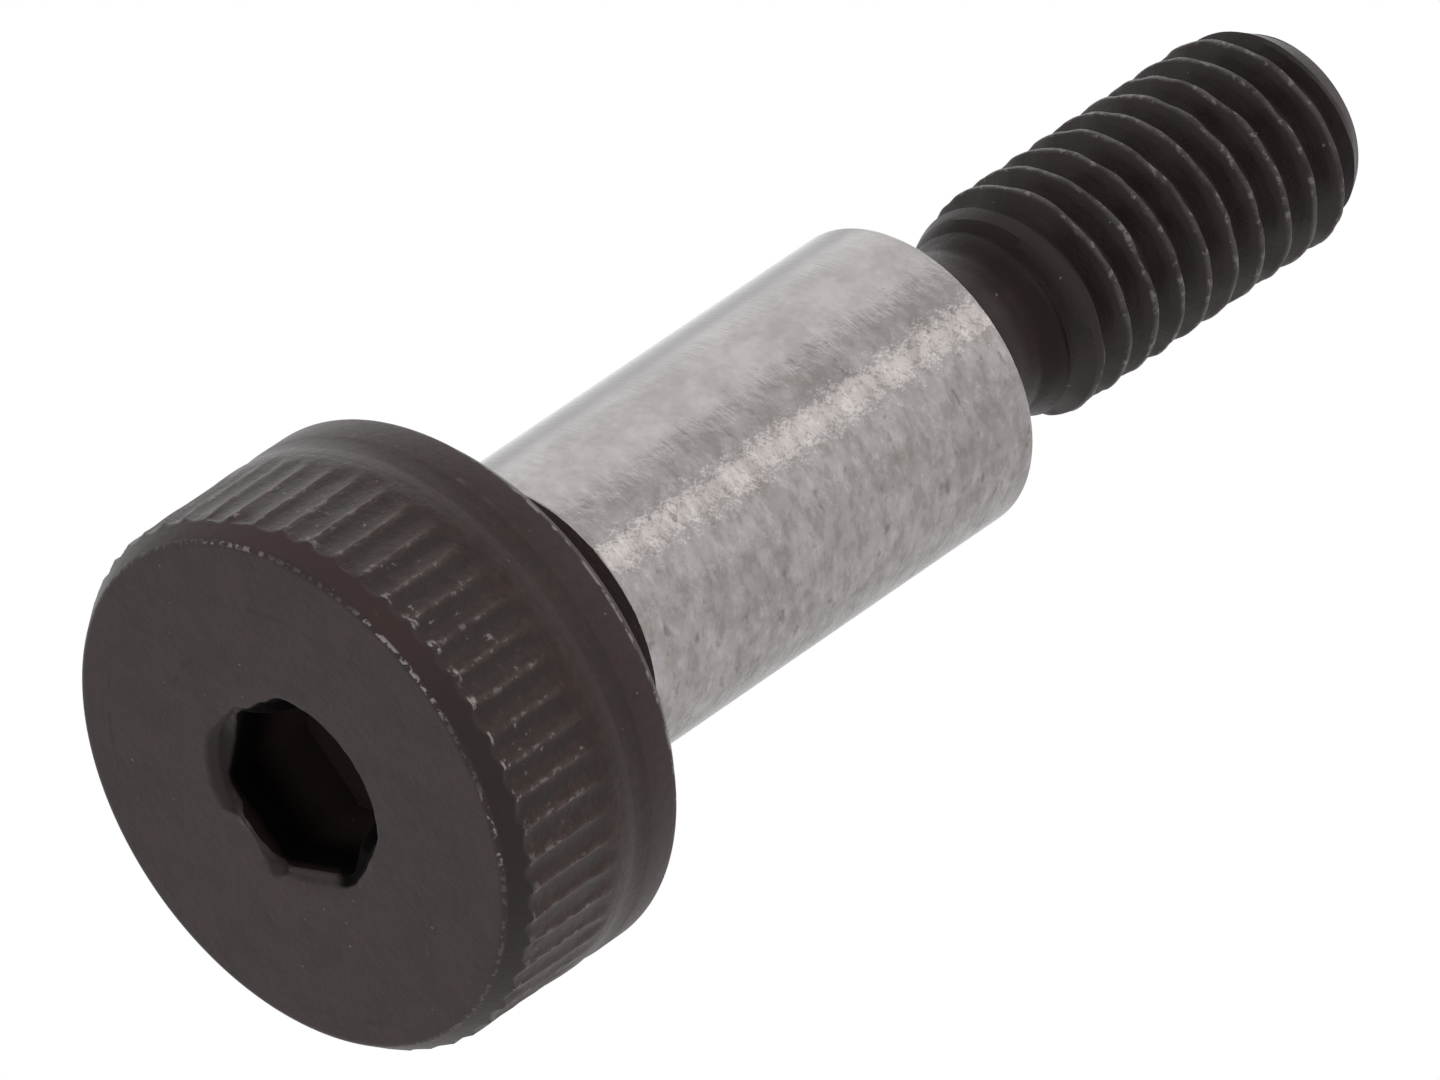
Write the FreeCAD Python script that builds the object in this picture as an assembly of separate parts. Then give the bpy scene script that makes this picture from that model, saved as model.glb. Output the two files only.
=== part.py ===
import FreeCAD, Part
import math
import os

# Shoulder bolt with a knurled socket head, one turned piece.
# Lengths are in millimetres. The head's flat face lies in z = 0 and the bolt
# stands up along +Z, so the threaded tip is the highest point.

V = FreeCAD.Vector
UP = V(0, 0, 1)

# head
head_diameter = 7.0
head_height = 3.0
face_diameter = 6.56            # flat of the head face, inside its chamfer
face_chamfer_height = 0.33
rear_chamfer = 0.21             # 45 degree edge on the shoulder side

# straight knurl around the head
knurl_teeth = 54
knurl_depth = 0.08
knurl_fill = 0.84               # groove width as a share of one tooth pitch
knurl_length = 1.45             # full depth, measured from the face
knurl_runout = 0.33             # the grooves rise out over this length
knurl_first_angle = -1.6        # degrees from +X to the first groove

# hexagon socket
socket_flats = 2.0
socket_depth = 1.5
socket_mouth_diameter = 2.66    # shallow recess where it meets the face
socket_mouth_floor = 2.42       # and at its flat floor
socket_mouth_depth = 0.15
socket_drill_diameter = 1.98
socket_point_angle = 118.0      # drill point under the hexagon

# ground shoulder, with the relief groove under the head
shoulder_diameter = 4.0
shoulder_length = 8.0
shoulder_edge = 0.06
relief_diameter = 3.6
relief_width = 1.18
relief_ramp = 0.20

# neck between shoulder and thread
neck_diameter = 2.22
neck_length = 1.15
neck_ramp = 0.80

# metric thread, right-hand
thread_diameter = 2.94
thread_root_diameter = 2.38
thread_pitch = 0.5
thread_length = 7.0
thread_crest_width = 0.07
thread_root_width = 0.09
thread_start_angle = 0.85       # turns, sets where the crest passes +X
tip_chamfer_radial = 0.29
tip_chamfer_length = 0.50

shoulder_end = head_height + shoulder_length
tip = shoulder_end + thread_length


def revolve(points):
    """Turn a closed profile of (radius, height) pairs about the Z axis."""
    wire = Part.makePolygon([V(r, 0, z) for r, z in points + points[:1]])
    return Part.Face(wire).revolve(V(0, 0, 0), UP, 360)


def turned_blank():
    """Head, relief groove, shoulder, neck and thread core in one profile."""
    head_r = head_diameter / 2
    shoulder_r = shoulder_diameter / 2
    relief_r = relief_diameter / 2
    neck_r = neck_diameter / 2
    root_r = thread_root_diameter / 2
    core_start = shoulder_end + neck_length + neck_ramp * 0.2
    tip_r = thread_diameter / 2 - tip_chamfer_radial
    points = [
        (0, 0),
        (face_diameter / 2, 0),
        (head_r, face_chamfer_height),
        (head_r, head_height - rear_chamfer),
        (head_r - rear_chamfer, head_height),
        (relief_r, head_height),
        (relief_r, head_height + relief_width - relief_ramp),
        (shoulder_r, head_height + relief_width),
        (shoulder_r, shoulder_end - shoulder_edge),
        (shoulder_r - shoulder_edge, shoulder_end),
        (neck_r, shoulder_end),
        (neck_r, shoulder_end + neck_length),
        (root_r, core_start),
        (root_r, tip - tip_chamfer_length * 0.2),
        (min(root_r, tip_r), tip),
        (0, tip),
    ]
    return revolve(points)


def knurl_groove(angle):
    """One V groove along the head; it starts ahead of the face and rises out at its end."""
    head_r = head_diameter / 2
    half = math.pi * head_diameter / knurl_teeth * knurl_fill / 2
    over = 0.06

    def section(z, depth):
        grow = (depth + over) / depth if depth > 0.01 else 1.0
        w = half * depth / knurl_depth * grow
        return Part.makePolygon([V(head_r - depth, 0, z), V(head_r + over, -w, z),
                                 V(head_r + over, w, z), V(head_r - depth, 0, z)])

    body = Part.makeLoft([section(-0.1, knurl_depth), section(knurl_length, knurl_depth),
                          section(knurl_length + knurl_runout, 0.02)], True, True)
    body.rotate(V(0, 0, 0), UP, angle)
    return body


def knurled(blank):
    step = 360.0 / knurl_teeth
    grooves = [knurl_groove(knurl_first_angle + step * i) for i in range(knurl_teeth)]
    return blank.cut(Part.makeCompound(grooves))


def socket():
    """Shallow recess, broached hexagon and the drill point beneath it."""
    corner_r = socket_flats / math.sqrt(3)
    corners = [V(corner_r * math.cos(math.radians(60 * i)), corner_r * math.sin(math.radians(60 * i)), -0.1)
               for i in range(7)]
    hexagon = Part.Face(Part.makePolygon(corners)).extrude(V(0, 0, socket_depth + 0.1))
    mouth_r = socket_mouth_diameter / 2
    floor_r = socket_mouth_floor / 2
    slope = (mouth_r - floor_r) / socket_mouth_depth
    mouth = Part.makeCone(mouth_r + 0.1 * slope, floor_r, socket_mouth_depth + 0.1, V(0, 0, -0.1), UP)
    drill_r = socket_drill_diameter / 2
    point = drill_r / math.tan(math.radians(socket_point_angle / 2))
    drill = Part.makeCone(drill_r, 0, point, V(0, 0, socket_depth), UP)
    return [mouth, hexagon, drill]


def thread_ridge():
    """A helical ridge, trimmed by the neck's run-out cone and the chamfered tip."""
    crest_r = thread_diameter / 2
    root_r = thread_root_diameter / 2
    bury = 0.05
    start = shoulder_end + thread_pitch * (1 + thread_start_angle)
    height = tip - start + thread_pitch
    helix = Part.makeLongHelix(thread_pitch, height, root_r)
    base = thread_pitch - thread_root_width
    slope = (base - thread_crest_width) / 2 / (crest_r - root_r)
    wide = base / 2 + bury * slope
    over = 0.05
    narrow = max(thread_crest_width / 2 - over * slope, 0.01)
    profile = Part.makePolygon([V(root_r - bury, 0, -wide), V(crest_r + over, 0, -narrow),
                                V(crest_r + over, 0, narrow), V(root_r - bury, 0, wide),
                                V(root_r - bury, 0, -wide)])
    ridge = Part.Wire(helix.Edges).makePipeShell([profile], True, True)
    ridge.translate(V(0, 0, start))
    neck_r = neck_diameter / 2
    ramp_start = shoulder_end + neck_length
    envelope = revolve([(0, ramp_start), (neck_r, ramp_start), (crest_r, ramp_start + neck_ramp),
                        (crest_r, tip - tip_chamfer_length), (crest_r - tip_chamfer_radial, tip), (0, tip)])
    return ridge, envelope


def shoulder_bolt():
    body = knurled(turned_blank())
    for cutter in socket():
        body = body.cut(cutter)
    ridge, envelope = thread_ridge()
    print("ridge valid", ridge.isValid(), "volume", round(ridge.Volume, 3))
    body = body.fuse(ridge.common(envelope))
    return body


os.makedirs("parts", exist_ok=True)
bolt = shoulder_bolt()
solids = bolt.Solids
print("solids", len(solids), "valid", bolt.isValid(), "volume", round(bolt.Volume, 3))
bolt = solids[0]
print("bounds", bolt.BoundBox)
print("facets", len(bolt.tessellate(0.02)[1]), "faces", len(bolt.Faces))
bolt.exportStep("parts/shoulder_bolt.step")
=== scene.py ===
# %% [markdown]
# # A small shoulder bolt
# A shoulder bolt is turned from one bar of steel. It has a knurled round head
# with a hexagon socket, a ground shoulder that a pulley or a lever turns on,
# a thin neck and a fine thread. This lesson makes it the way a lathe does:
# a profile is drawn, turned about the axis, knurled, broached and threaded.
# Lengths are written in millimetres, as on a drawing, and Blender gets metres.

# %% Load the frame
import math
import random
import bpy
import bmesh
from mathutils import Matrix, Vector, noise


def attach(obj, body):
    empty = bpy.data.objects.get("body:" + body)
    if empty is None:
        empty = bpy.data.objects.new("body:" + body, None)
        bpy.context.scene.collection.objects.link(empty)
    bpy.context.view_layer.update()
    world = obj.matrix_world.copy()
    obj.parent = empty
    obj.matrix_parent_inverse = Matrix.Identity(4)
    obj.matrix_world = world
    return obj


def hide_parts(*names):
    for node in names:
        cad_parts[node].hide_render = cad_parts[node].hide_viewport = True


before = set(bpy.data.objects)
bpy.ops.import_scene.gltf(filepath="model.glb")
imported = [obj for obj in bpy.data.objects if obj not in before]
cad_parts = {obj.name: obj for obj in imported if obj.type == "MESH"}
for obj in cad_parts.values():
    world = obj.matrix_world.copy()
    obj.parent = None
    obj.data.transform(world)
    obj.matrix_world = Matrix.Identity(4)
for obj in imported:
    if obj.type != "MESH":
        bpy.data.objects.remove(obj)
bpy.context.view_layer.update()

MM = 0.001

# %% [markdown]
# ## The drawing
# Every length of the bolt is named once, here. The bolt stands on its head,
# so heights are measured from the head's flat face up to the thread's tip.

# %% Sizes from the drawing
HEAD_R, HEAD_TOP = 3.5, 3.0
FACE_R, FACE_CHAMFER, REAR_CHAMFER = 3.28, 0.33, 0.21
TEETH, TOOTH_STEPS, KNURL_DEPTH = 54, 10, 0.054
KNURL_END, KNURL_RUNOUT, FIRST_RIDGE = 1.80, 0.30, 0.3
SHOULDER_R, SHOULDER_END, RELIEF_R, RELIEF_END = 2.0, 11.0, 1.8, 4.18
NECK_R, NECK_END, THREAD_FULL = 1.11, 12.15, 12.95
CREST_R, ROOT_R, PITCH, TIP = 1.47, 1.19, 0.5, 18.0
TIP_R, TIP_CHAMFER = 1.18, 0.50
MOUTH_R, RECESS_R, RECESS, FLATS, SOCKET_DEPTH = 1.33, 1.21, 0.12, 2.04, 1.5
CORNER_R, DRILL_R, DRILL_POINT = 1.145, 0.99, 0.58
STEPS = TEETH * TOOTH_STEPS
print("steps round the bolt:", STEPS)

# %% [markdown]
# ## Drawing the turned profile
# On a lathe the shape comes from one outline. Here the outline is a chain of
# edges in the plane Y = 0, from the socket's mouth, round the head, up the
# shoulder and to the end of the neck. A real edge is never perfectly sharp, so
# each corner is then rounded with a vertex bevel of its own size. Bevelling
# the outline once is simpler than bevelling every ring of the finished mesh.

# %% The outline as a chain of edges
def outline(points):
    """A chain of edges through (radius, height) points, with its corners rounded."""
    bm = bmesh.new()
    chain = [bm.verts.new((r * MM, 0, z * MM)) for r, z, _ in points]
    for a, b in zip(chain, chain[1:]):
        bm.edges.new((a, b))
    for vert, (_, _, rounding) in zip(chain, points):
        if rounding:
            bmesh.ops.bevel(bm, geom=[vert], offset=rounding * MM, offset_type="OFFSET", segments=3,
                            profile=0.5, affect="VERTICES", material=-1)
    return bm

profile = [
    (RECESS_R, RECESS, 0), (MOUTH_R, 0, 0.03), (2.4, 0, 0), (FACE_R, 0, 0.04), (HEAD_R, FACE_CHAMFER, 0.03),
    (HEAD_R, 1.91, 0.01), (HEAD_R - 0.014, 2.07, 0.01), (HEAD_R - 0.012, 2.32, 0), (HEAD_R - 0.002, 2.35, 0),
    (HEAD_R - 0.004, HEAD_TOP - REAR_CHAMFER, 0.02), (HEAD_R - REAR_CHAMFER, HEAD_TOP, 0.03),
    (RELIEF_R, HEAD_TOP, 0.15), (RELIEF_R, RELIEF_END - 0.20, 0.05), (SHOULDER_R, RELIEF_END, 0.015),
    (SHOULDER_R, 7.6, 0), (SHOULDER_R, SHOULDER_END - 0.06, 0.015), (SHOULDER_R - 0.06, SHOULDER_END, 0.01),
    (NECK_R, SHOULDER_END, 0.14), (NECK_R, NECK_END - 0.08, 0),
]
bolt = outline(profile)
print("points on the outline:", len(bolt.verts))

# %% [markdown]
# The knurl needs rows of points along the head, close together where its
# grooves begin and run out. Cutting the outline with flat planes adds them
# without moving anything.

# %% Extra rows where the knurl will be
def cut_rows(bm, places, axis):
    for place in places:
        bmesh.ops.bisect_plane(bm, geom=bm.verts[:] + bm.edges[:], dist=1e-8,
                               plane_co=[c * place * MM for c in axis], plane_no=axis)

cut_rows(bolt, (0.19, 0.22, 0.24, 0.26, 0.28, 0.30, 0.42), (0, 0, 1))
cut_rows(bolt, (0.6, 0.8, 1.0, 1.2, 1.4, 1.5, 1.58, 1.65, 1.71, 1.76, 1.80), (0, 0, 1))
print("points with the knurl's rows:", len(bolt.verts))

# %% [markdown]
# Smooth shading averages the light over neighbouring faces, and a large face
# beside a small rounding would look dished. A row close to each rounding, on
# the flat side, keeps that blend as narrow as the rounding itself.

# %% Rows that hold the flats flat
cut_rows(bolt, (1.38, 3.21, 3.16, 2.05, 1.30), (1, 0, 0))
cut_rows(bolt, (2.72, 3.20, 3.93, 4.23, 10.90, 11.20), (0, 0, 1))
print("points with the holding rows:", len(bolt.verts))

# %% [markdown]
# ## Turning it
# A full spin about Z makes the head, shoulder and neck in one go. The steps
# are a whole number for each tooth, so every tooth gets the same points.

# %% Spin the outline once round
bmesh.ops.spin(bolt, geom=bolt.verts[:] + bolt.edges[:], cent=(0, 0, 0), axis=(0, 0, 1),
               dvec=(0, 0, 0), angle=math.tau, steps=STEPS, use_merge=True, use_duplicate=False)
bmesh.ops.remove_doubles(bolt, verts=bolt.verts[:], dist=1e-8)
print("turned blank:", len(bolt.faces), "faces")

# %% [markdown]
# A ridge of the knurl is thin and a groove is broad, so the points are needed
# at the ridges. Turning each point a little towards its nearest ridge gathers
# them there. Every point stays at its own radius, so the shape is unchanged.

# %% Gather the points at the ridges
for vert in bolt.verts:
    if vert.co.z < 3.5 * MM:
        turns = math.atan2(vert.co.y, vert.co.x) / math.tau * TEETH - FIRST_RIDGE
        shift = -0.07 * math.sin(math.tau * turns) / TEETH * math.tau
        vert.co.xy = Matrix.Rotation(shift, 2) @ vert.co.xy
print("points gathered towards", TEETH, "ridges")

# %% [markdown]
# ## Rolling the knurl
# A straight knurl is pressed into the head by a toothed wheel. Each groove is
# broad and shallow; between two grooves stays a thin ridge of the old surface,
# and towards the shoulder the grooves end round, because the wheel's edge is
# bevelled. The point's angle says where on a tooth it is, and the point moves
# inwards to the groove if the groove lies deeper. The wheel never presses
# evenly, so each tooth gets a slightly different depth from a seeded random
# list, and noise makes the ridges wavy and ragged, as pressed metal is.

# %% Press the grooves in
random.seed(7)
tooth_depth = [random.uniform(0.72, 1.0) for _ in range(TEETH)]
tooth_reach = [random.uniform(-0.12, 0.03) for _ in range(TEETH)]

def groove(turns, z):
    """How deep the groove is here: 0 on a ridge, up to the full depth on its floor."""
    which = math.floor(turns) % TEETH
    across = 0.5 - abs(turns - math.floor(turns) - 0.5)
    share = math.sin(math.pi * across) ** 0.75
    end = KNURL_END + tooth_reach[which] - 0.45 * (0.5 - across) ** 2
    fade = max(0.0, min(1.0, (end - z) / KNURL_RUNOUT)) ** 0.8
    return KNURL_DEPTH * tooth_depth[which] * share * fade

def set_radius(vert, radius):
    scale = radius / math.hypot(vert.co.x, vert.co.y)
    vert.co.x *= scale
    vert.co.y *= scale

pressed = 0
for vert in bolt.verts:
    r, z = math.hypot(vert.co.x, vert.co.y) / MM, vert.co.z / MM
    if not (3.35 < r and 0.1 < z < 1.82):
        continue
    turns = math.atan2(vert.co.y, vert.co.x) / math.tau * TEETH - FIRST_RIDGE
    turns += 0.07 * noise.noise(vert.co * 2500)
    uneven = 0.016 * (0.5 + 0.5 * noise.noise(Vector((vert.co.x, vert.co.y, vert.co.z * 0.6)) * 6000))
    chipped = 0.05 * max(0.0, noise.noise(vert.co * 4200) - 0.05) * (z < 0.45)
    floor_r = HEAD_R - groove(turns, z) - uneven * min(1.0, (1.82 - z) * 4) - chipped
    if floor_r < r:
        set_radius(vert, floor_r * MM)
        pressed += 1
print("points pressed by the knurl:", pressed)

# %% [markdown]
# ## Broaching the socket
# The hexagon is punched into a shallow round recess, which is already in the
# outline. The punch drags metal along, so the recess stays open beside some
# flats and is closed up beside others. A short table says how open it is all
# round, and each point of its wall moves in towards the hexagon and up to the
# face by that share. On the -Y side it goes deeper, which is a guess: the
# photograph is black there right out to the recess's rim.
# The rim ring is then the recess's inner ring, copied inwards: each point
# slides along its own radius to the hexagon. The walls and the drill point
# are the same ring, extruded again.

# %% Extrude the recess's ring inwards
def ring_at(bm, radius, height):
    return [e for e in bm.edges if e.is_boundary and all(
        abs(math.hypot(v.co.x, v.co.y) - radius * MM) < 2e-6 and abs(v.co.z - height * MM) < 2e-6
        for v in e.verts)]

def extrude_ring(bm, edges, move):
    """Extrude a ring of edges and put each new point where move(point) says."""
    made = bmesh.ops.extrude_edge_only(bm, edges=edges)["geom"]
    for vert in (g for g in made if isinstance(g, bmesh.types.BMVert)):
        move(vert)
    return [g for g in made if isinstance(g, bmesh.types.BMEdge) and g.is_boundary]

def to_flat(vert):
    """Distance from the axis to the hexagon's side here, with corners on +X and -X cut off."""
    angle = math.atan2(vert.co.y, vert.co.x) % (math.pi / 3) - math.pi / 6
    return min(FLATS / 2 / math.cos(angle), CORNER_R)

OPEN = ((0, 1), (45, 1), (62, 0.80), (90, 0.70), (108, 0.45), (125, 0.40), (140, 0.35), (150, 0.95),
        (160, 0.30), (170, 0), (186, 0), (196, 0.8), (210, 1), (240, 1), (256, 0.7), (266, 0.35),
        (280, 0.25), (298, 0.65), (312, 1), (360, 1))

def opened(vert):
    """How open the recess is at this angle, which counts from -Y towards +X."""
    turn = math.degrees(math.atan2(vert.co.x, -vert.co.y)) % 360
    for (a, low), (b, high) in zip(OPEN, OPEN[1:]):
        if a <= turn <= b:
            t = (turn - a) / (b - a)
            return low + (high - low) * t * t * (3 - 2 * t)
    return 1.0

def to_rim(vert):
    set_radius(vert, (to_flat(vert) + 0.02) * MM)
    vert.co.z += 0.01 * MM

def to_edge(vert):
    set_radius(vert, math.hypot(vert.co.x, vert.co.y) - 0.02 * MM)
    vert.co.z += 0.02 * MM

def to_depth(vert):
    vert.co.z = SOCKET_DEPTH * MM

def to_drill(vert):
    set_radius(vert, DRILL_R * MM)

def to_point(vert):
    set_radius(vert, 0.02 * MM)
    vert.co.z = (SOCKET_DEPTH + DRILL_POINT) * MM

mouth = ring_at(bolt, RECESS_R, RECESS)
for vert in bolt.verts:
    r = math.hypot(vert.co.x, vert.co.y) / MM
    if r < MOUTH_R + 0.02 and vert.co.z < 0.5 * MM:
        share = opened(vert)
        hexagon = to_flat(vert) + 0.03
        ragged = 0.012 * noise.noise(vert.co * 7000)
        deep = 1 + 3.5 * max(0.0, -vert.co.y / (r * MM) - 0.42) / 0.58
        set_radius(vert, (hexagon + (r - hexagon) * share + ragged) * MM)
        vert.co.z *= share * deep
rim = extrude_ring(bolt, mouth, to_rim)
edge = extrude_ring(bolt, rim, to_edge)
wall = extrude_ring(bolt, edge, to_depth)
drill = extrude_ring(bolt, wall, to_drill)
point = extrude_ring(bolt, drill, to_point)
bmesh.ops.edgeloop_fill(bolt, edges=point)
print("socket rings:", len(mouth), len(rim), len(wall), len(drill), len(point))

# %% [markdown]
# ## Cutting the thread
# A thread is one groove that climbs by a pitch each turn. Spinning one tooth
# of its outline with a small lift at every step makes that helix, and merging
# the doubles joins each turn to the next. It is made a little too long.

# %% Spin one pitch into a helix
THREAD_STEPS = 120
TURNS = 14
CREST_AT = 12.80 - 2 * PITCH          # a crest's height on the side facing -Y

tooth = [(-0.25, ROOT_R), (-0.215, ROOT_R), (-0.185, ROOT_R + 0.03), (-0.11, 1.332), (-0.052, 1.443),
         (-0.03, 1.464), (0, CREST_R), (0.03, 1.464), (0.052, 1.443), (0.11, 1.332),
         (0.185, ROOT_R + 0.03), (0.215, ROOT_R), (0.25, ROOT_R)]
screw = bmesh.new()
chain = [screw.verts.new((0, -r * MM, (CREST_AT + dz) * MM)) for dz, r in tooth]
for a, b in zip(chain, chain[1:]):
    screw.edges.new((a, b))
bmesh.ops.spin(screw, geom=screw.verts[:] + screw.edges[:], cent=(0, 0, 0), axis=(0, 0, 1),
               dvec=(0, 0, PITCH / THREAD_STEPS * MM), angle=math.tau * TURNS,
               steps=THREAD_STEPS * TURNS, use_merge=False, use_duplicate=False)
bmesh.ops.remove_doubles(screw, verts=screw.verts[:], dist=1e-7)
print("helix:", len(screw.faces), "faces")

# %% [markdown]
# The neck's ramp and the chamfered tip trim the helix, as the turned blank did
# before it was threaded: no point may stand outside the blank. A slow noise
# along the crest leaves it slightly ragged. Two flat cuts then give the
# thread clean ends.

# %% Trim the helix to the blank
def blank_r(z):
    """Radius of the unthreaded blank at height z."""
    if z < THREAD_FULL:
        return NECK_R + (CREST_R - NECK_R) * max(0.0, (z - NECK_END) / (THREAD_FULL - NECK_END))
    return CREST_R - (CREST_R - TIP_R) * max(0.0, (z - TIP + TIP_CHAMFER) / TIP_CHAMFER)

for vert in screw.verts:
    r, z = math.hypot(vert.co.x, vert.co.y) / MM, vert.co.z / MM
    worn = 0.032 * max(0.0, noise.noise(vert.co * 3500)) * (r > 1.4)
    set_radius(vert, max(min(r - worn, blank_r(z)), 0.3) * MM)
    vert.co.z += 0.040 * MM * noise.noise(vert.co * 2200) * max(0.0, (r - ROOT_R) / (CREST_R - ROOT_R))
for height, side in ((NECK_END - 0.04, -1), (TIP, 1)):
    bmesh.ops.bisect_plane(screw, geom=screw.verts[:] + screw.edges[:] + screw.faces[:], dist=1e-9,
                           plane_co=(0, 0, height * MM), plane_no=(0, 0, side), clear_outer=True)
tip_ring = [e for e in screw.edges if e.is_boundary and all(abs(v.co.z - TIP * MM) < 1e-6 for v in e.verts)]
bmesh.ops.edgeloop_fill(screw, edges=tip_ring)
print("tip ring:", len(tip_ring), "thread faces:", len(screw.faces))

# %% [markdown]
# ## Joining neck and thread
# The neck's last ring and the thread's first ring lie close together at the
# same radius, so bridging them closes the bolt into one skin.

# %% Bridge the two rings
thread_mesh = bpy.data.meshes.new("thread")
screw.to_mesh(thread_mesh)
bolt.from_mesh(thread_mesh)
bpy.data.meshes.remove(thread_mesh)
screw.free()
open_edges = [e for e in bolt.edges if e.is_boundary]
bmesh.ops.bridge_loops(bolt, edges=open_edges)
bmesh.ops.recalc_face_normals(bolt, faces=bolt.faces[:])
left_open = sum(1 for e in bolt.edges if not e.is_manifold)
print("edges bridged:", len(open_edges), "edges still open:", left_open, "volume mm3:",
      round(bolt.calc_volume() * 1e9, 2))

# %% [markdown]
# ## Two finishes on one piece
# The whole bolt is blackened first, and then only the shoulder is ground, so
# the black stays in both grooves beside it. The faces of the ground length
# get the second material slot. Edges sharper than 26 degrees stay crisp.

# %% Make the piece and mark the ground shoulder
for face in bolt.faces:
    face.smooth = True
    middle = face.calc_center_median()
    on_length = RELIEF_END - 0.03 < middle.z / MM < SHOULDER_END + 0.001
    face.material_index = 1 if on_length and math.hypot(middle.x, middle.y) > 1.93 * MM else 0
mesh = bpy.data.meshes.new("shoulder_bolt_turned")
bolt.to_mesh(mesh)
bolt.free()
mesh.set_sharp_from_angle(angle=math.radians(26))
piece = bpy.data.objects.new("shoulder_bolt_turned", mesh)
bpy.context.scene.collection.objects.link(piece)
print("triangles:", sum(len(p.vertices) - 2 for p in mesh.polygons))

# %% [markdown]
# ## Where on the bolt am I?
# All the marks on a turned part follow its axis: rings on the face, lines
# round the shoulder, wear on the crests. This node group turns the object's
# own coordinates into what a turner would measure: radius, height and angle.

# %% Helpers that build node trees
def new_group(name, inputs, outputs):
    group = bpy.data.node_groups.new(name, "ShaderNodeTree")
    for socket, kind, value in inputs:
        made = group.interface.new_socket(socket, in_out="INPUT", socket_type=kind)
        if value is not None:
            made.default_value = value
    for socket, kind in outputs:
        group.interface.new_socket(socket, in_out="OUTPUT", socket_type=kind)
    return group, group.nodes.new("NodeGroupInput"), group.nodes.new("NodeGroupOutput")

class Wiring:
    """Short names for adding nodes and joining them in one node tree."""
    def __init__(self, tree):
        self.tree = tree

    def join(self, source, target):
        self.tree.links.new(source, target)

    def feed(self, socket, value):
        if isinstance(value, bpy.types.NodeSocket):
            self.join(value, socket)
        else:
            socket.default_value = value

    def math(self, operation, *values, clamp=False):
        node = self.tree.nodes.new("ShaderNodeMath")
        node.operation, node.use_clamp = operation, clamp
        for socket, value in zip(node.inputs, values):
            self.feed(socket, value)
        return node.outputs[0]

    def times(self, first, *others):
        for other in others:
            first = self.math("MULTIPLY", first, other)
        return first

    def most(self, first, *others):
        for other in others:
            first = self.math("MAXIMUM", first, other)
        return first

    def less(self, value, amount):
        return self.math("SUBTRACT", value, amount)

    def ramp(self, value, low, high):
        """0 below low, 1 above high, a soft step between them."""
        node = self.tree.nodes.new("ShaderNodeMapRange")
        node.interpolation_type = "SMOOTHSTEP"
        for name, number in (("Value", value), ("From Min", low), ("From Max", high)):
            self.feed(node.inputs[name], number)
        return node.outputs["Result"]

    def band(self, value, low, high, soft):
        rise = self.ramp(value, low - soft, low + soft)
        fall = self.ramp(value, high - soft, high + soft)
        return self.math("SUBTRACT", rise, fall, clamp=True)

    def vector(self, x, y, z):
        node = self.tree.nodes.new("ShaderNodeCombineXYZ")
        for socket, value in zip(node.inputs, (x, y, z)):
            self.feed(socket, value)
        return node.outputs[0]

    def split(self, vector):
        node = self.tree.nodes.new("ShaderNodeSeparateXYZ")
        self.join(vector, node.inputs[0])
        return node.outputs

    def noise(self, vector, scale, detail=2.0, roughness=0.5):
        node = self.tree.nodes.new("ShaderNodeTexNoise")
        self.join(vector, node.inputs["Vector"])
        node.inputs["Scale"].default_value = scale
        node.inputs["Detail"].default_value = detail
        node.inputs["Roughness"].default_value = roughness
        return node.outputs["Fac"]

    def side(self, around, direction):
        """1 on the side of the bolt that faces the direction, -1 on the far side."""
        node = self.tree.nodes.new("ShaderNodeVectorMath")
        node.operation = "DOT_PRODUCT"
        self.join(around, node.inputs[0])
        node.inputs[1].default_value = direction
        return node.outputs["Value"]

    def mix(self, factor, a, b):
        node = self.tree.nodes.new("ShaderNodeMix")
        node.data_type = "RGBA"
        self.feed(node.inputs["Factor"], factor)
        self.feed(node.inputs["A"], a)
        self.feed(node.inputs["B"], b)
        return node.outputs["Result"]

    def group(self, tree, **values):
        node = self.tree.nodes.new("ShaderNodeGroup")
        node.node_tree = tree
        for name, value in values.items():
            self.feed(node.inputs[name.replace("_", " ")], value)
        return node.outputs

def bumped(material, w, shader, relief, strength):
    """Let this height, in units of 0.02 mm, tilt the light on the material."""
    bump = material.node_tree.nodes.new("ShaderNodeBump")
    bump.inputs["Strength"].default_value = strength
    bump.inputs["Distance"].default_value = 0.02 * MM
    w.join(relief, bump.inputs["Height"])
    w.join(bump.outputs[0], shader.inputs["Normal"])

print("helpers ready: new_group, Wiring, bumped")

# %% The place group itself
place_group, _, place_out = new_group("place on the bolt", [], [
    ("Radius", "NodeSocketFloat"), ("Height", "NodeSocketFloat"), ("Round", "NodeSocketVector"),
    ("Point", "NodeSocketVector")])
w = Wiring(place_group)
coords = place_group.nodes.new("ShaderNodeTexCoord")
in_mm = place_group.nodes.new("ShaderNodeVectorMath")
in_mm.operation = "SCALE"
in_mm.inputs["Scale"].default_value = 1000.0
w.join(coords.outputs["Object"], in_mm.inputs[0])
parts = place_group.nodes.new("ShaderNodeSeparateXYZ")
w.join(in_mm.outputs[0], parts.inputs[0])
x, y, z = parts.outputs
radius = w.math("SQRT", w.math("ADD", w.math("MULTIPLY", x, x), w.math("MULTIPLY", y, y)))
safe = w.math("MAXIMUM", radius, 0.001)
w.join(radius, place_out.inputs["Radius"])
w.join(z, place_out.inputs["Height"])
w.join(w.vector(w.math("DIVIDE", x, safe), w.math("DIVIDE", y, safe), 0.0), place_out.inputs["Round"])
w.join(in_mm.outputs[0], place_out.inputs["Point"])
print("group made:", place_group.name)

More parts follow.
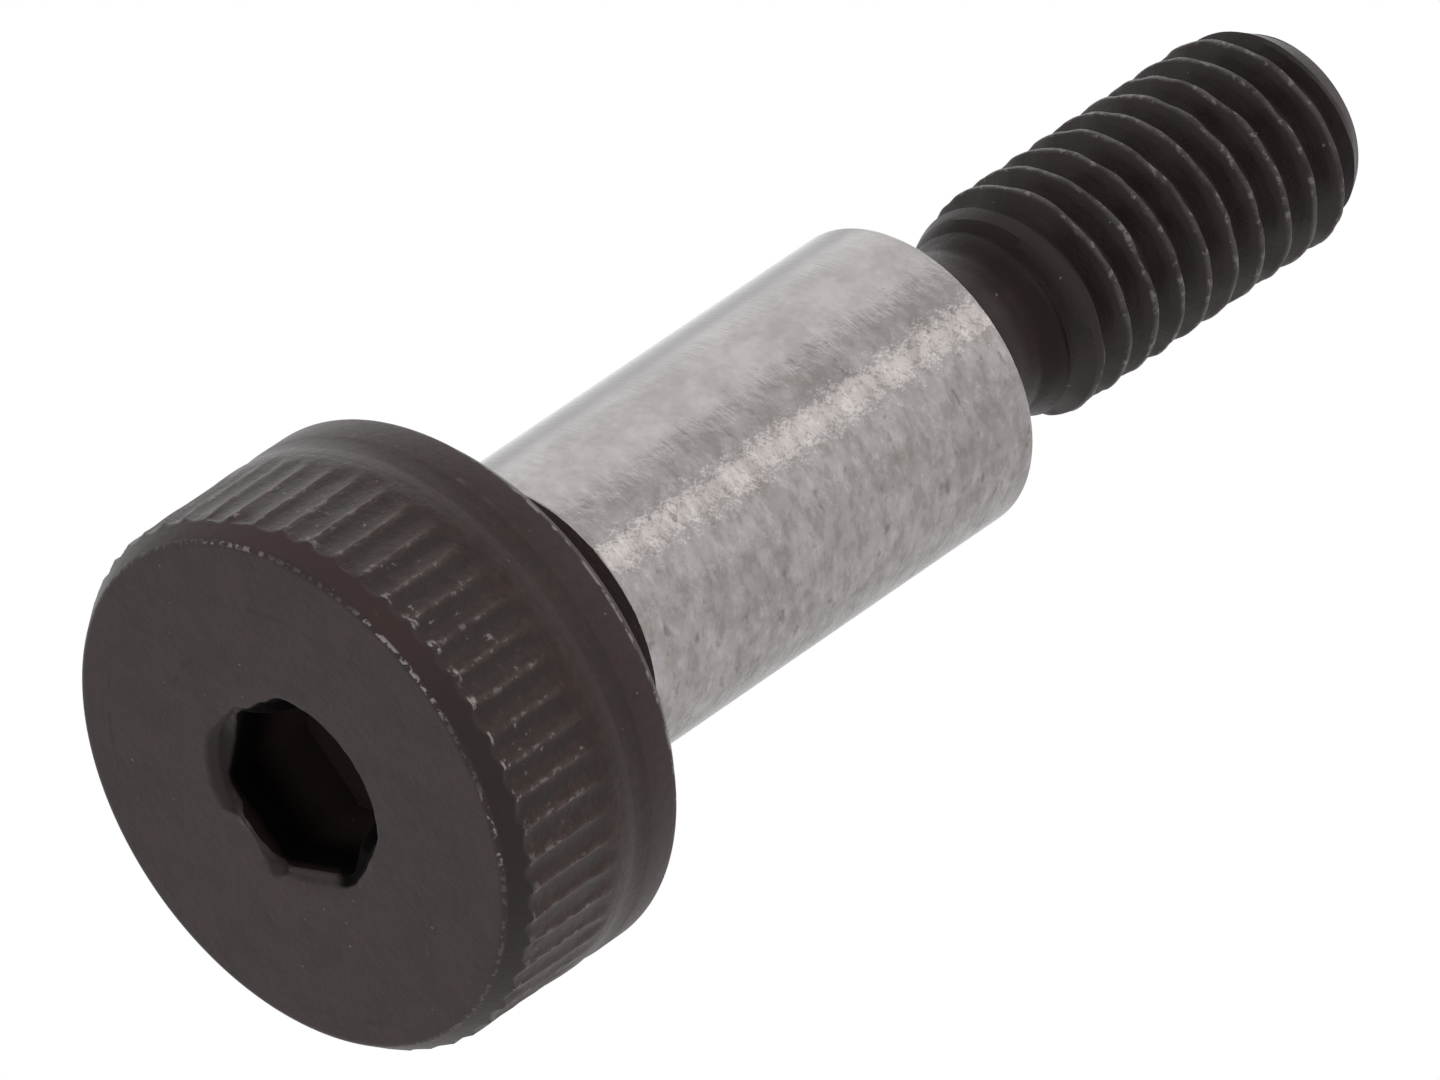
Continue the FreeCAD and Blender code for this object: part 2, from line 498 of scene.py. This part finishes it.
# %% [markdown]
# ## Tool marks
# A tool leaves fine rings round the axis. On a cylinder they are lines of
# equal height, on the face lines of equal radius, so one group makes both: the
# noise is stretched along the direction round the bolt and packed across it.

# %% A node group for tool marks
marks_group, marks_in, marks_out = new_group("tool marks", [
    ("Round", "NodeSocketVector", None), ("Across", "NodeSocketFloat", 0.0),
    ("Lines", "NodeSocketFloat", 20.0), ("Waver", "NodeSocketFloat", 1.0)],
    [("Height", "NodeSocketFloat")])
w = Wiring(marks_group)
spread = marks_group.nodes.new("ShaderNodeVectorMath")
spread.operation = "SCALE"
w.join(marks_in.outputs["Round"], spread.inputs[0])
w.join(marks_in.outputs["Waver"], spread.inputs["Scale"])
lift = marks_group.nodes.new("ShaderNodeVectorMath")
w.join(spread.outputs[0], lift.inputs[0])
w.join(w.vector(0.0, 0.0, w.math("MULTIPLY", marks_in.outputs["Across"], marks_in.outputs["Lines"])),
       lift.inputs[1])
w.join(w.noise(lift.outputs[0], 1.0, detail=3.0, roughness=0.65), marks_out.inputs["Height"])
print("group made:", marks_group.name)

# %% [markdown]
# ## Worn edges
# Black oxide is thin, so handling rubs it off the highest points first. The
# group takes a mask of the places that stand proud and breaks it up with
# noise, so the wear comes in short bright specks and not as a painted line.

# %% A node group for wear on edges
wear_group, wear_in, wear_out = new_group("worn edge", [
    ("Point", "NodeSocketVector", None), ("Proud", "NodeSocketFloat", 0.0),
    ("Size", "NodeSocketFloat", 6.0), ("Amount", "NodeSocketFloat", 0.5)],
    [("Mask", "NodeSocketFloat")])
w = Wiring(wear_group)
speck = wear_group.nodes.new("ShaderNodeTexNoise")
w.join(wear_in.outputs["Point"], speck.inputs["Vector"])
w.join(wear_in.outputs["Size"], speck.inputs["Scale"])
speck.inputs["Detail"].default_value = 3.0
speck.inputs["Roughness"].default_value = 0.6
limit = w.math("SUBTRACT", 0.75, w.math("MULTIPLY", wear_in.outputs["Amount"], 0.4))
specks = w.ramp(speck.outputs["Fac"], limit, w.math("ADD", limit, 0.08))
w.join(w.math("MULTIPLY", specks, wear_in.outputs["Proud"], clamp=True), wear_out.inputs["Mask"])
print("group made:", wear_group.name)

# %% [markdown]
# ## Black oxide
# The black skin is a thin dark brown-black layer, half dull, which brightens
# at a glancing angle as every non-metal does. So it is a plain non-metal with
# a very dark warm colour. It is made in steps: masks for the places on the
# bolt, noise, coats of colour, and last the wear and the shine.

# %% Masks for the places on the bolt
def new_material(name):
    material = bpy.data.materials.new(name)
    material.use_nodes = True
    return material, material.node_tree.nodes["Principled BSDF"], Wiring(material.node_tree)

black, shader, w = new_material("black_oxide")
place = w.group(place_group)
radius, height, around, here = (place[n] for n in ("Radius", "Height", "Round", "Point"))
on_face = w.ramp(height, 0.06, 0.02)
on_chamfer = w.times(w.band(height, 0.05, 0.29, 0.03), w.ramp(radius, 3.26, 3.30))
on_knurl = w.times(w.band(height, 0.34, 1.85, 0.05), w.ramp(radius, 3.38, 3.42))
on_rear = w.times(w.band(height, 1.85, 2.85, 0.05), w.ramp(radius, 3.3, 3.4))
on_ramp = w.times(w.band(height, 11.9, 12.6, 0.12), w.ramp(radius, 1.42, 1.36))
on_thread = w.ramp(height, 12.05, 12.35)
in_recess = w.times(w.ramp(radius, 1.34, 1.31), w.band(height, 0.02, 0.7, 0.02))

def towards(turn, spread):
    """1 on the side at this angle from -Y, fading to 0 at the spread on either side."""
    a = math.radians(turn)
    facing = w.side(around, (math.sin(a), -math.cos(a), 0))
    return w.ramp(facing, math.cos(math.radians(spread)), math.cos(math.radians(spread * 0.4)))

print("places on the bolt: 7")

# %% [markdown]
# Oil and dirt lie unevenly, so every coat of colour is broken up by noise:
# slow clouds over the whole head, blotches a millimetre across, and scuffs
# and grain that only show close by.

# %% Noise from coarse to fine
cloud = w.noise(here, 1.3, detail=4.0)
patch = w.ramp(w.noise(here, 2.6, detail=4.0, roughness=0.65), 0.38, 0.62)
mottle = w.ramp(w.noise(here, 3.6, detail=4.0, roughness=0.6), 0.50, 0.68)
blotch = w.ramp(w.noise(here, 5.5, detail=3.0, roughness=0.6), 0.35, 0.65)
scuffs = w.noise(here, 7.0, detail=3.0, roughness=0.6)
grain = w.noise(here, 22.0, detail=3.0, roughness=0.6)
print("noises: 6")

# %% [markdown]
# The turned face is a little lighter than the sides, and two bands on the head's rear are lighter.

# %% The ground colour
def coated(skin, *coats):
    """The skin with each (mask, colour) laid over it in turn."""
    for mask, colour in coats:
        skin = w.mix(mask, skin, colour)
    return skin

side_skin = w.mix(patch, (0.0255, 0.0100, 0.0080, 1), (0.0205, 0.0112, 0.0088, 1))
face_skin = w.mix(patch, (0.0365, 0.0180, 0.0190, 1), (0.0305, 0.0188, 0.0178, 1))
# Two bands round the head's rear are made lighter.
rear_lighter_bands = w.most(w.band(height, 1.94, 2.06, 0.015), w.band(height, 2.35, 2.80, 0.015))
skin = coated(
    w.mix(on_face, side_skin, face_skin),
    (w.times(w.ramp(cloud, 0.42, 0.66), 0.35), (0.013, 0.0062, 0.0060, 1)),
    (w.times(blotch, w.less(0.34, w.times(on_face, 0.16))), (0.011, 0.0050, 0.0045, 1)),
    (w.times(mottle, w.less(0.42, w.times(on_face, 0.10))), (0.034, 0.0180, 0.0155, 1)),
    (w.times(rear_lighter_bands, w.ramp(radius, 3.3, 3.4), 0.62), (0.036, 0.0185, 0.0180, 1)))
print("ground colour ready")

# %% [markdown]
# The angle, counted in teeth, says how far round a tooth a point is. One side of each groove is darkened
# with painted shade, and the ridge between two grooves is made greyer, partly rubbed and partly a painted
# highlight. Scuffs shift both a little, so that no two teeth look the same.

# %% Painted shade on one side of the grooves, rubbed and highlighted ridges
across, along, _ = w.split(around)
tooth_at = w.times(w.math("ARCTAN2", along, across), TEETH / math.tau)
tooth_at = w.math("ADD", tooth_at, w.times(w.less(scuffs, 0.5), 0.45))
tooth_at = w.math("FRACT", w.less(tooth_at, FIRST_RIDGE))
pressed_end = w.math("ADD", 1.36, w.times(scuffs, 0.45))
in_grooves = w.times(w.ramp(height, 0.33, 0.42), w.math("LESS_THAN", height, pressed_end))
in_grooves = w.times(in_grooves, w.ramp(radius, 3.38, 3.42))
# Painted shade: one side of each groove is darkened.
groove_side_shade = w.times(w.band(tooth_at, 0.14, 0.55, 0.09), in_grooves)
# The ridges are lightened, partly as rubbing and partly as a painted highlight.
ridge_rub_and_highlight = w.times(w.less(1.0, w.band(tooth_at, 0.11, 0.86, 0.05)), in_grooves)
skin = coated(
    skin,
    (w.times(on_knurl, 0.35), (0.026, 0.0080, 0.0058, 1)),
    (w.times(w.ramp(scuffs, 0.50, 0.68), on_knurl, 0.45), (0.044, 0.0225, 0.0180, 1)),
    (w.times(w.ramp(scuffs, 0.48, 0.34), on_knurl, 0.50), (0.0075, 0.0026, 0.0021, 1)),
    (w.times(groove_side_shade, w.math("ADD", 0.28, w.times(scuffs, 0.50))), (0.0062, 0.0022, 0.0018, 1)),
    (w.times(ridge_rub_and_highlight, w.math("ADD", 0.12, w.times(blotch, 0.50))), (0.055, 0.029, 0.0230, 1)))
print("knurl coats ready")

# %% [markdown]
# The rest of the sides: scuffs and a painted highlight line on the head's rear, a face chamfer with painted
# light on one side and painted shade on the other, and a darker thread. These places are where the
# photograph shows them on this bolt.

# %% The head's rear, the chamfer and the thread
# A painted highlight line on the head's rear, on the side towards -62 degrees.
rear_highlight_line = w.times(w.band(height, 2.36, 2.43, 0.015), towards(-62, 60), mottle)
skin = coated(
    skin,
    (w.times(w.ramp(scuffs, 0.52, 0.68), on_rear, 0.40), (0.044, 0.0235, 0.0200, 1)),
    (w.times(w.ramp(scuffs, 0.46, 0.34), on_rear, 0.35), (0.012, 0.0050, 0.0044, 1)),
    (w.times(rear_highlight_line, 0.6), (0.085, 0.060, 0.055, 1)),
    # The chamfer gets painted light towards -28 degrees and painted shade towards 40 degrees.
    (w.times(on_chamfer, towards(-28, 55), 0.75), (0.038, 0.0180, 0.0165, 1)),
    (w.times(on_chamfer, towards(40, 60), 0.70), (0.007, 0.0018, 0.0018, 1)),
    (w.times(on_thread, 0.60), (0.010, 0.0036, 0.0040, 1)),
    (w.times(on_ramp, 0.55), (0.0055, 0.0018, 0.0016, 1)))
print("side coats ready")

# %% [markdown]
# The photograph shows the hole evenly black, out to the recess's rim on the
# -Y side. Part of that is shadow, but shadow alone leaves the model lighter.
# So the hole and that side of the recess get a nearly black painted shade, and the rest of the recess gets a
# lighter painted shade.

# %% The socket and its recess
near_side = w.ramp(w.side(around, (math.sin(math.radians(8)), -math.cos(math.radians(8)), 0)), -0.13, 0.03)
black_from = w.less(0.24, w.times(near_side, 0.16))
in_socket = w.times(w.ramp(radius, 1.26, 1.20), w.ramp(height, 0.04, black_from), w.ramp(height, 2.4, 2.3))
# Painted shade: the hole, and the recess on the -Y side, are coated nearly black.
socket_painted_shade = w.most(in_socket, w.times(in_recess, near_side))
# Painted shade over the rest of the recess, weaker towards 122 degrees and stronger towards 256.
recess_shade_amount = w.less(0.60, w.times(towards(122, 30), 0.45))
recess_shade_amount = w.math("ADD", recess_shade_amount, w.times(towards(256, 48), 0.40))
# The painted shade's colour: nearly black near the face, browner deep in the hole.
socket_shade_colour = w.mix(w.ramp(height, 0.5, 1.3), (0.0026, 0.0013, 0.0011, 1), (0.066, 0.0460, 0.0395, 1))
skin = coated(skin, (w.times(in_recess, recess_shade_amount), (0.012, 0.0040, 0.0038, 1)), (socket_painted_shade, socket_shade_colour))
print("socket coats ready")

# %% [markdown]
# A few faint dark arcs lie on the face, each only part of the way round.

# %% Smears on the face
arcs = ((2.0, 25, 20), (1.96, 253, 24), (2.86, 228, 20), (2.96, 124, 18), (2.45, 305, 26))
smears = w.most(*[w.times(w.band(radius, ring - 0.03, ring + 0.03, 0.03), towards(turn, spread))
                  for ring, turn, spread in arcs])
smears = w.times(smears, w.ramp(w.noise(here, 3.0, detail=3.0), 0.35, 0.6))
skin = coated(skin, (w.times(smears, on_face, 0.65), (0.010, 0.0045, 0.0045, 1)))
print("smears:", len(arcs))

# %% [markdown]
# The wear comes on top of the skin: a mask for each kind of edge, broken up by
# the wear group. Some sides of the bolt have been rubbed more than others.

# %% Which edges are worn
land = w.times(w.ramp(radius, 3.468, 3.492), w.band(height, 0.33, 1.40, 0.10))
land_ends = w.times(w.ramp(radius, 3.452, 3.472), w.band(height, 0.34, 0.41, 0.02))
front_edge = w.times(w.band(height, 0.312, 0.348, 0.010), w.ramp(radius, 3.448, 3.468))
face_edge = w.times(w.band(radius, 3.262, 3.304, 0.010), w.ramp(height, 0.08, 0.05))
rear_edge = w.times(w.band(height, 2.765, 2.835, 0.015), w.ramp(radius, 3.40, 3.44))
knurl_front = w.times(w.band(height, 0.36, 1.25, 0.12), w.ramp(radius, 3.40, 3.43), towards(-16, 60))
crest = w.times(w.ramp(radius, 1.430, 1.462), on_thread)
burr = w.times(w.band(radius, 1.00, 1.12, 0.02), w.ramp(height, 0.05, 0.03))
rim = w.times(w.band(radius, 1.32, 1.38, 0.01), on_face)
rubbed_ends = w.most(towards(3, 36), w.times(towards(-48, 34), 0.55), w.times(towards(40, 60), 0.35))
rubbed_edge = w.most(towards(-9, 18), towards(30, 11), w.times(towards(-57, 12), 0.7), 0.22)
rubbed_rear = w.most(towards(8, 55), 0.35)
print("kinds of edge: 9")

# %% Specks of bare steel on them
worn_places = (
    (w.times(land, 0.55), 8.0, 0.56), (w.times(land_ends, rubbed_ends), 6.5, 0.64),
    (w.times(front_edge, rubbed_ends), 7.5, 0.62), (w.times(face_edge, rubbed_edge), 10.0, 0.66),
    (w.times(rear_edge, rubbed_rear, 0.75), 5.0, 0.68), (w.times(crest, 0.55), 7.5, 0.52),
    (w.times(knurl_front, 0.60), 7.0, 0.27), (w.times(burr, towards(182, 8), 0.17), 6.0, 0.55),
    (w.times(rim, 0.25), 8.0, 0.30))
wear = w.most(*[w.group(wear_group, Point=here, Proud=proud, Size=size, Amount=amount)["Mask"]
                for proud, size, amount in worn_places])
# Thread crests and knurl ridges are lightened all along: partly handling wear, partly a painted highlight.
handled_and_highlight = w.times(w.most(w.times(crest, 0.55), w.times(land, 0.40)),
                  w.ramp(w.noise(here, 3.5, detail=4.0, roughness=0.65), 0.34, 0.60))
dust = w.times(w.ramp(w.noise(here, 9.0, detail=1.0), 0.775, 0.80), 0.35)
bare = w.most(w.times(wear, 0.75), dust, w.times(handled_and_highlight, 0.24))
w.join(w.mix(bare, skin, (0.34, 0.315, 0.305, 1)), shader.inputs["Base Color"])
print("worn places:", len(worn_places))

# %% [markdown]
# The worn specks shine as metal. The socket under its painted shade and the ramp are set partly to metal
# too, for another reason: a metal gives back only its own colour, and theirs is nearly black, so no white
# sheen is left in the hole.

# %% Metal, roughness and tool marks
dark_metal = w.most(w.times(socket_painted_shade, 0.85), w.times(on_ramp, 0.5))
w.join(w.most(w.times(wear, 0.5), dark_metal), shader.inputs["Metallic"])
shader.inputs["Specular IOR Level"].default_value = 0.31
rough = w.math("ADD", w.times(grain, 0.18), w.times(socket_painted_shade, 0.4))
w.join(w.math("ADD", rough, 0.40, clamp=True), shader.inputs["Roughness"])

rings = w.group(marks_group, Round=around, Across=radius, Lines=9.0, Waver=1.2)["Height"]
lines = w.group(marks_group, Round=around, Across=height, Lines=20.0, Waver=0.9)["Height"]
turned = w.math("ADD", w.times(rings, on_face), w.times(lines, w.less(1.0, on_face)))
relief = w.math("ADD", w.times(turned, 0.35), w.times(grain, 0.40))
relief = w.math("ADD", relief, w.times(w.noise(here, 7.0, detail=2.0), 0.8))
relief = w.math("ADD", relief, w.times(scuffs, on_knurl, 1.3))
bumped(black, w, shader, relief, 0.35)
print("material made:", black.name)

# %% [markdown]
# ## Ground steel
# The grinding wheel leaves very fine lines round the shoulder. They blur a
# reflection along the bolt but hardly round it, which is why the bands of
# light and dark stay straight and narrow. The lines are bump; faint stains,
# cloudy tone and a few small pits are colour and roughness.

# %% The ground steel material
steel, shader, w = new_material("ground_steel")
place = w.group(place_group)
height, around, here = (place[n] for n in ("Height", "Round", "Point"))
cloud = w.noise(here, 1.6, detail=4.0, roughness=0.6)
mottle = w.noise(here, 6.0, detail=3.0, roughness=0.6)
dashes = w.group(marks_group, Round=around, Across=height, Lines=5.4, Waver=6.0)["Height"]
spots = w.group(marks_group, Round=around, Across=height, Lines=4.6, Waver=5.0)["Height"]
fine = w.group(marks_group, Round=around, Across=height, Lines=34.0, Waver=2.5)["Height"]
worn_side = w.side(around, (0.64, -0.77, 0))
busy = w.math("ADD", 0.07, w.times(w.ramp(worn_side, 0.05, 0.75), 0.93))
pits = w.times(w.ramp(spots, 0.60, 0.72), busy)
stain = w.times(w.ramp(w.noise(here, 2.2, detail=3.0), 0.58, 0.72), busy, 0.4)

tone = w.math("ADD", w.times(cloud, 0.65), w.times(mottle, 0.35))
metal = coated(
    w.mix(w.ramp(tone, 0.34, 0.66), (0.272, 0.251, 0.249, 1), (0.350, 0.327, 0.324, 1)),
    (w.times(w.ramp(dashes, 0.50, 0.64), busy, 0.48), (0.195, 0.172, 0.163, 1)),
    (w.times(w.ramp(dashes, 0.47, 0.34), busy, 0.42), (0.455, 0.430, 0.418, 1)),
    # Painted shade: the shoulder's side towards -96 degrees is darkened.
    (w.times(towards(-96, 46), 0.80), (0.160, 0.150, 0.151, 1)),
    (stain, (0.225, 0.190, 0.165, 1)),
    (w.times(pits, 0.58), (0.135, 0.110, 0.095, 1)))
w.join(metal, shader.inputs["Base Color"])
shader.inputs["Metallic"].default_value = 1.0
shader.inputs["Specular Tint"].default_value = (0.76, 0.76, 0.76, 1)
w.join(w.math("ADD", w.times(mottle, 0.12), 0.11), shader.inputs["Roughness"])
relief = w.math("ADD", w.times(fine, 0.4), w.times(dashes, busy, 3.0))
bumped(steel, w, shader, w.less(relief, w.times(pits, 0.6)), 0.5)
print("material made:", steel.name)

# %% Dress the piece and hand it to the frame
piece.data.materials.append(black)
piece.data.materials.append(steel)
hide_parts("shoulder_bolt")
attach(piece, "root")

# %% [markdown]
# ## The studio
# The bolt stands on a plain pale floor. The photograph's camera looks from
# below, at the head's face, so the floor is only there for a camera above it:
# from below it is clear, and it takes no part in reflections or shadows.

# %% The floor
floor_bm = bmesh.new()
bmesh.ops.create_grid(floor_bm, x_segments=1, y_segments=1, size=1.5)
bmesh.ops.translate(floor_bm, vec=(0, 0, -0.02 * MM), verts=floor_bm.verts)
floor_mesh = bpy.data.meshes.new("floor")
floor_bm.to_mesh(floor_mesh)
floor_bm.free()
floor = bpy.data.objects.new("floor", floor_mesh)
bpy.context.scene.collection.objects.link(floor)
pale, shader, w = new_material("pale_floor")
shader.inputs["Base Color"].default_value = (0.86, 0.86, 0.86, 1)
shader.inputs["Roughness"].default_value = 0.9
shader.inputs["Specular IOR Level"].default_value = 0.1
clear = pale.node_tree.nodes.new("ShaderNodeBsdfTransparent")
geometry = pale.node_tree.nodes.new("ShaderNodeNewGeometry")
either = pale.node_tree.nodes.new("ShaderNodeMixShader")
w.join(geometry.outputs["Backfacing"], either.inputs[0])
w.join(shader.outputs[0], either.inputs[1])
w.join(clear.outputs[0], either.inputs[2])
w.join(either.outputs[0], pale.node_tree.nodes["Material Output"].inputs["Surface"])
floor.data.materials.append(pale)
for ray in ("visible_diffuse", "visible_glossy", "visible_transmission", "visible_shadow"):
    setattr(floor, ray, False)

# %% [markdown]
# The room is white: the camera and every reflection see it at full white,
# while as a lamp it is softer. A wide soft box on the bolt's left and a narrow
# one towards the camera give the shoulder its two bright bands.

# %% The white room and the soft boxes
world = bpy.data.worlds.new("white_room")
bpy.context.scene.world = world
world.use_nodes = True
w = Wiring(world.node_tree)
background = world.node_tree.nodes["Background"]
background.inputs["Color"].default_value = (1, 1, 1, 1)
path = world.node_tree.nodes.new("ShaderNodeLightPath")
seen = w.math("MAXIMUM", w.math("MAXIMUM", path.outputs["Is Camera Ray"], path.outputs["Is Glossy Ray"]),
              path.outputs["Is Transmission Ray"])
w.join(w.math("ADD", 0.60, w.math("MULTIPLY", seen, 0.40)), background.inputs["Strength"])

def soft_box(name, turn, lift, distance, width, height, radiance, colour=(1, 1, 1)):
    """An area lamp at an angle round the bolt (0 is -Y, positive to +X) and above it."""
    target = Vector((0, 0, 8 * MM))
    a, e = math.radians(turn), math.radians(lift)
    direction = Vector((math.sin(a) * math.cos(e), -math.cos(a) * math.cos(e), math.sin(e)))
    lamp = bpy.data.lights.new(name, "AREA")
    lamp.shape, lamp.size, lamp.size_y = "RECTANGLE", width, height
    lamp.energy = radiance * math.pi * width * height
    lamp.color = colour
    holder = bpy.data.objects.new(name, lamp)
    holder.location = target + direction * distance
    holder.rotation_euler = direction.to_track_quat("Z", "Y").to_euler()
    holder.visible_camera = False
    bpy.context.scene.collection.objects.link(holder)
    print(name, "energy", round(lamp.energy, 4))

soft_box("left_box", -92, 35, 0.16, 0.175, 0.17, 0.49, (0.97, 0.99, 1.0))
soft_box("back_box", -150, 35, 0.16, 0.175, 0.17, 0.62, (0.94, 0.98, 1.0))
soft_box("front_strip", -11, 35, 0.16, 0.042, 0.17, 0.78, (1.0, 0.97, 0.92))
soft_box("front_fill", 14, 35, 0.16, 0.090, 0.17, 0.14, (1.0, 0.99, 0.96))

# %% [markdown]
# ## The camera
# The bolt is photographed from far away with a long lens, from the head's
# side. The camera's three directions are written in the bolt's own axes, and
# its place is where the head's face comes out where it is in the picture.

# %% The camera
LENS_PIXELS = 21342.0
right = Vector((0.56279, -0.50421, 0.65502))
down = Vector((0.82660, 0.34329, -0.44596))
ahead = Vector((0.0, 0.79242, 0.60998))
head_seen = Vector((-4.972, 2.965, 247.302)) * MM
cam = bpy.data.cameras.new("camera")
cam.sensor_width, cam.sensor_fit = 36.0, "HORIZONTAL"
cam.lens = LENS_PIXELS * 36.0 / 1440.0
cam.clip_start, cam.clip_end = 0.01, 10.0
camera = bpy.data.objects.new("camera", cam)
turn = Matrix((right, -down, -ahead)).transposed().to_4x4()
spot = -(right * head_seen.x + down * head_seen.y + ahead * head_seen.z)
camera.matrix_world = Matrix.Translation(spot) @ turn
bpy.context.scene.collection.objects.link(camera)
bpy.context.scene.camera = camera
bpy.context.scene.view_settings.view_transform = "Standard"
print("camera at", [round(v / MM, 2) for v in spot], "lens", round(cam.lens, 1))
